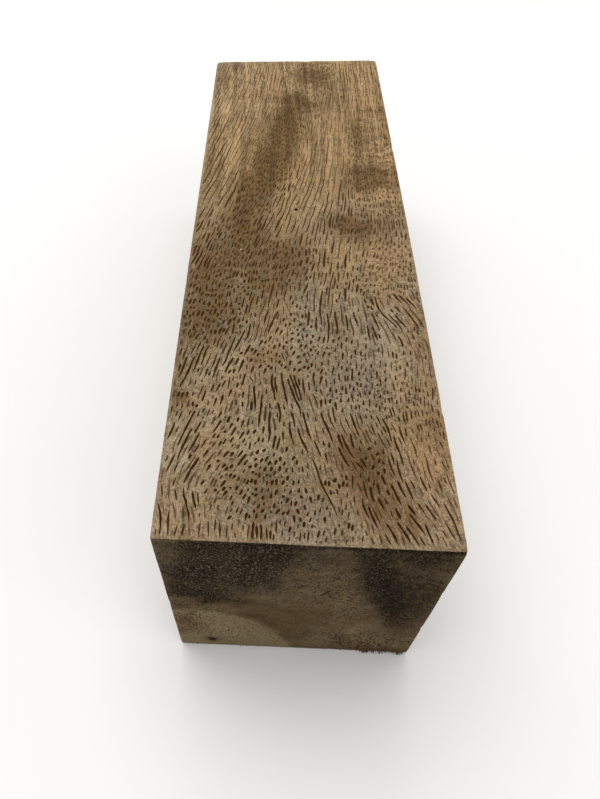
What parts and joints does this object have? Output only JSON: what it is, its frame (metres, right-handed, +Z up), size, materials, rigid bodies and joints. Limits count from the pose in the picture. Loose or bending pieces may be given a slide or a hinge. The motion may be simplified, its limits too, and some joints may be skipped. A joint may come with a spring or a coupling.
{
  "type": "stabilized wood block",
  "caption": "Rough-sawn rectangular block of resin-stabilized mango wood, a turning or carving blank with wavy grain, lying on one long face.",
  "frame": {"origin": "centre of the block's bounding box at the bottom face", "axes": "+Y along the length and the grain, away from the end that the picture shows; +X to the right when that end is looked at; +Z up"},
  "size_m": [0.0387, 0.1289, 0.0406],
  "materials": {
    "mango_wood": "sawn and lightly sanded, resin-stabilized, dull satin, open dark pores"
  },
  "bodies": {
    "root": {"mango_wood_block": "mango_wood"}
  },
  "joints": []
}
